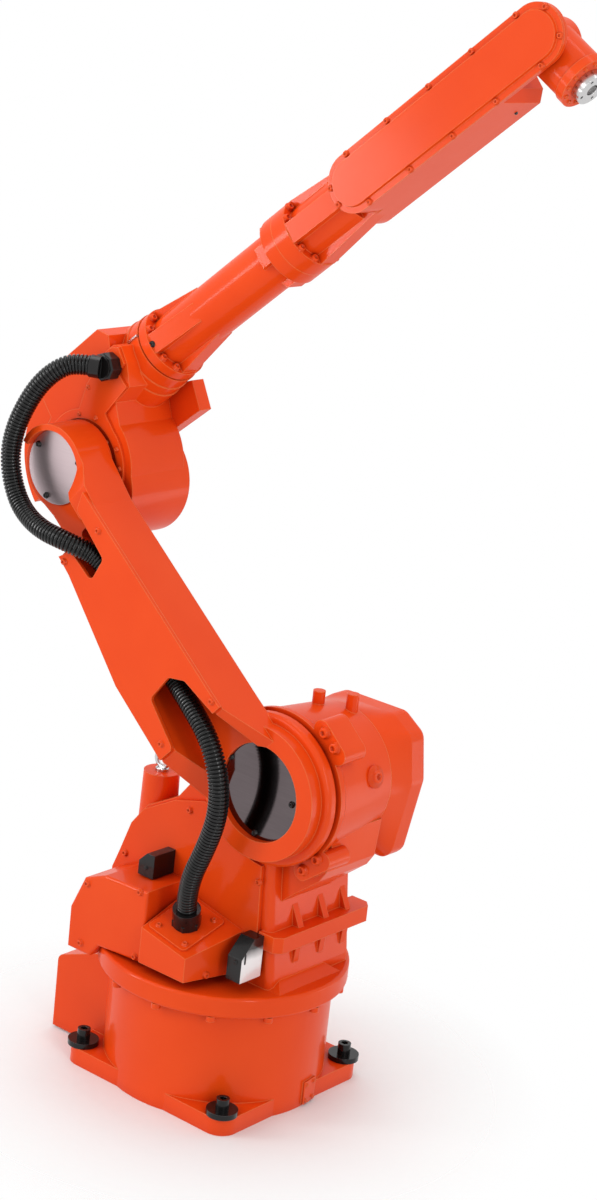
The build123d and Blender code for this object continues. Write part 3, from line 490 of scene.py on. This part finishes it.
# the same route points as the tubes of the part, in millimetres
lowerRoute = ((40.7, -165.3, 374.9), (51.3, -182.9, 425.9), (90, -187, 515), (109, -191, 572),
              (111, -194, 622), (101, -195, 662), (75, -193, 706), (33, -188, 741), (-32.1, -172, 776.5),
              (-76.6, -172, 816.7))
upperRoute = ((-323.4, -134.7, 1261.5), (-349.6, -149.3, 1262.4), (-371, -170, 1248), (-394, -185, 1219),
              (-411, -197, 1181), (-426, -206, 1134), (-429, -211, 1086), (-413, -214, 1038),
              (-380.4, -219, 999.5), (-319.3, -233, 980.7), (-257.2, -226, 971.8), (-212.1, -182, 947.2),
              (-164.6, -182, 904.3))


def hoseLine(name, points):
    curve = bpy.data.curves.new(name, "CURVE")
    curve.dimensions = "3D"
    curve.resolution_u = hoseLook["resolution"]
    spline = curve.splines.new("NURBS")
    spline.points.add(len(points) - 1)
    for point, place in zip(spline.points, points):
        point.co = (*(Vector(place) * mm), 1)
    spline.order_u = 3
    spline.use_endpoint_u = True
    guide = bpy.data.objects.new(name, curve)
    scene.collection.objects.link(guide)
    line = bpy.data.meshes.new_from_object(guide)
    path = [vertex.co.copy() for vertex in line.vertices]
    bpy.data.objects.remove(guide)
    bpy.data.meshes.remove(line)
    return path


def evenly(path, step):  # points at even steps along the path, and its length
    places = [0.0]
    for before, after in zip(path, path[1:]):
        places.append(places[-1] + (after - before).length)
    count = round(places[-1] / step)
    found = []
    index = 0
    for number in range(count + 1):
        want = places[-1] * number / count
        while index < len(path) - 2 and places[index + 1] < want:
            index += 1
        share = (want - places[index]) / (places[index + 1] - places[index])
        found.append(path[index].lerp(path[index + 1], share))
    return found, places[-1]


def ringedTube(path, look):
    build = bmesh.new()
    rings, length = evenly(path, look["pitch"] / look["steps"])
    turns = [math.tau * number / look["sides"] for number in range(look["sides"])]
    side = (rings[1] - rings[0]).orthogonal().normalized()
    loops = []
    for number, centre in enumerate(rings):
        ahead = (rings[min(number + 1, len(rings) - 1)] - rings[max(number - 1, 0)]).normalized()
        side = (side - ahead * side.dot(ahead)).normalized()
        other = ahead.cross(side)
        crest = min(1, look["flat"] * abs(math.sin(math.pi * number / look["steps"])))
        radius = look["radius"] - look["groove"] * (1 - crest)
        loops.append([build.verts.new(centre + around(side, other, turn) * radius) for turn in turns])
    skin(build, loops, smooth=True)
    return build, length


def addHose(name, route, node):
    path = hoseLine(name + "Line", route)
    build, length = ringedTube(path, hoseLook)
    hose = addPiece(name, build, None, "hose_rubber")
    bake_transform(hose)
    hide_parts(node)
    print(name, round(length / mm), "mm")


addHose("lowerHose", lowerRoute, "lower_hose")
addHose("upperHose", upperRoute, "upper_hose")

# camera at the photograph's place: degrees and metres, then pixels of the photograph
cameraLook = {"azimuth": 38.98, "elevation": 16.39, "roll": 5.97, "distance": 4.38853, "target": (0, 0, 0.9),
              "focal": 2519.86, "middle": (260.73, 600.12), "size": (597, 1200), "sensor": 36, "far": 60}


def addCamera(look):
    data = bpy.data.cameras.new("photoCamera")
    camera = bpy.data.objects.new("photoCamera", data)
    scene.collection.objects.link(camera)
    azimuth, elevation, roll = (math.radians(look[key]) for key in ("azimuth", "elevation", "roll"))
    back = Vector((math.sin(azimuth) * math.cos(elevation), -math.cos(azimuth) * math.cos(elevation),
                   math.sin(elevation)))
    right = Vector((math.cos(azimuth), math.sin(azimuth), 0))
    up = back.cross(right)
    right, up = around(right, up, roll), around(up, -right, roll)
    turn = Matrix((right, up, back)).transposed().to_4x4()
    camera.matrix_world = Matrix.Translation(Vector(look["target"]) + back * look["distance"]) @ turn
    wide, tall = look["size"]
    data.sensor_width = look["sensor"]
    data.lens = look["focal"] / tall * data.sensor_width
    data.shift_x = (wide / 2 - look["middle"][0]) / tall
    data.shift_y = (look["middle"][1] - tall / 2) / tall
    data.clip_end = look["far"]
    scene.camera = camera


addCamera(cameraLook)

# pale floor that fades into a white backdrop
floorLook = {"size": 6, "tint": (0.9, 0.9, 0.9), "rough": 0.9, "shine": 0.1, "fade": (0.26, 0.62),
             "speck": (60.0, 2.0), "speckFade": 0.985, "speckRange": (0.2, 0.8)}


def addFloor(look):
    build = bmesh.new()
    bmesh.ops.create_grid(build, x_segments=1, y_segments=1, size=look["size"])
    material, wire = newMaterial("paleFloor")
    place = wire.node("TexCoord", out="Object")
    dark = tuple(part * look["speckFade"] for part in look["tint"])
    tint = place.noise(*look["speck"]).between(*look["speckRange"]).mixed(dark, look["tint"])
    ground = wire.node("BsdfPrincipled", None, {
        "Base Color": tint, "Roughness": look["rough"], "Specular IOR Level": look["shine"]})
    clear = wire.node("BsdfTransparent")
    far = place.length().between(*look["fade"])
    closeMaterial(wire, wire.node("MixShader", None, {0: far, 1: ground, 2: clear}))
    floor = addPiece("floor", build, None, None, material)
    floor.visible_glossy = False


addFloor(floorLook)

# soft studio light: a sky, and lamps with place, aim, size, watts and spread
studioLook = {"sky": 0.75,
              "lamps": (("leftStrip", (-2.7, -3.0, 1.9), (0, 0, 1.1), (0.7, 2.2), 20, 120),
                        ("rightStrip", (3.7, -1.6, 2.0), (0, 0, 1.1), (0.7, 2.2), 15, 120),
                        ("leftBank", (-1.5, -3.8, 3.2), (0, 0, 0.95), (2.0, 2.0), 5.5, 70),
                        ("topBank", (-0.6, 0.6, 4.6), (0, 0, 0.9), (2.4, 2.4), 45, 180),
                        ("lowPanel", (-2.05, -2.78, 1.15), (0.17, -0.06, 1.67), (0.5, 0.5), 0.21, 40),
                        ("lowFront", (2.6, -2.2, 0.25), (0.2, 0, 1.75), (1.0, 1.0), 0.7, 40),
                        ("floorGlow", (1.3, 1.4, 0.15), (0.33, 0.25, 0.65), (0.8, 0.8), 0.28, 50))}


def addSky(look):  # white to the camera, in metal and through glass
    world = bpy.data.worlds.new("studio")
    world.use_nodes = True
    scene.world = world
    tree = world.node_tree
    tree.nodes.clear()
    wire = Wire(tree)
    rays = ("Is Camera Ray", "Is Glossy Ray", "Is Transmission Ray")
    camera, glossy, through = (wire.node("LightPath", out=ray) for ray in rays)
    sky = wire.node("Background", None, {"Color": (1, 1, 1, 1), "Strength": look["sky"]})
    white = wire.node("Background", None, {"Color": (1, 1, 1, 1), "Strength": 1.0})
    both = wire.node("MixShader", None, {0: camera + glossy + through, 1: sky, 2: white})
    end = tree.nodes.new("ShaderNodeOutputWorld")
    tree.links.new(both.socket, end.inputs["Surface"])


def addLamp(name, spot, aim, size, watts, spread):
    lamp = bpy.data.lights.new(name, "AREA")
    lamp.shape = "RECTANGLE"
    lamp.size, lamp.size_y = size
    lamp.energy = watts
    lamp.spread = math.radians(spread)
    lampObject = bpy.data.objects.new(name, lamp)
    lampObject.location = spot
    lampObject.rotation_euler = (Vector(aim) - Vector(spot)).to_track_quat("-Z", "Y").to_euler()
    lampObject.visible_camera = False
    scene.collection.objects.link(lampObject)


addSky(studioLook)
for lampRow in studioLook["lamps"]:
    addLamp(*lampRow)
print("studio done")
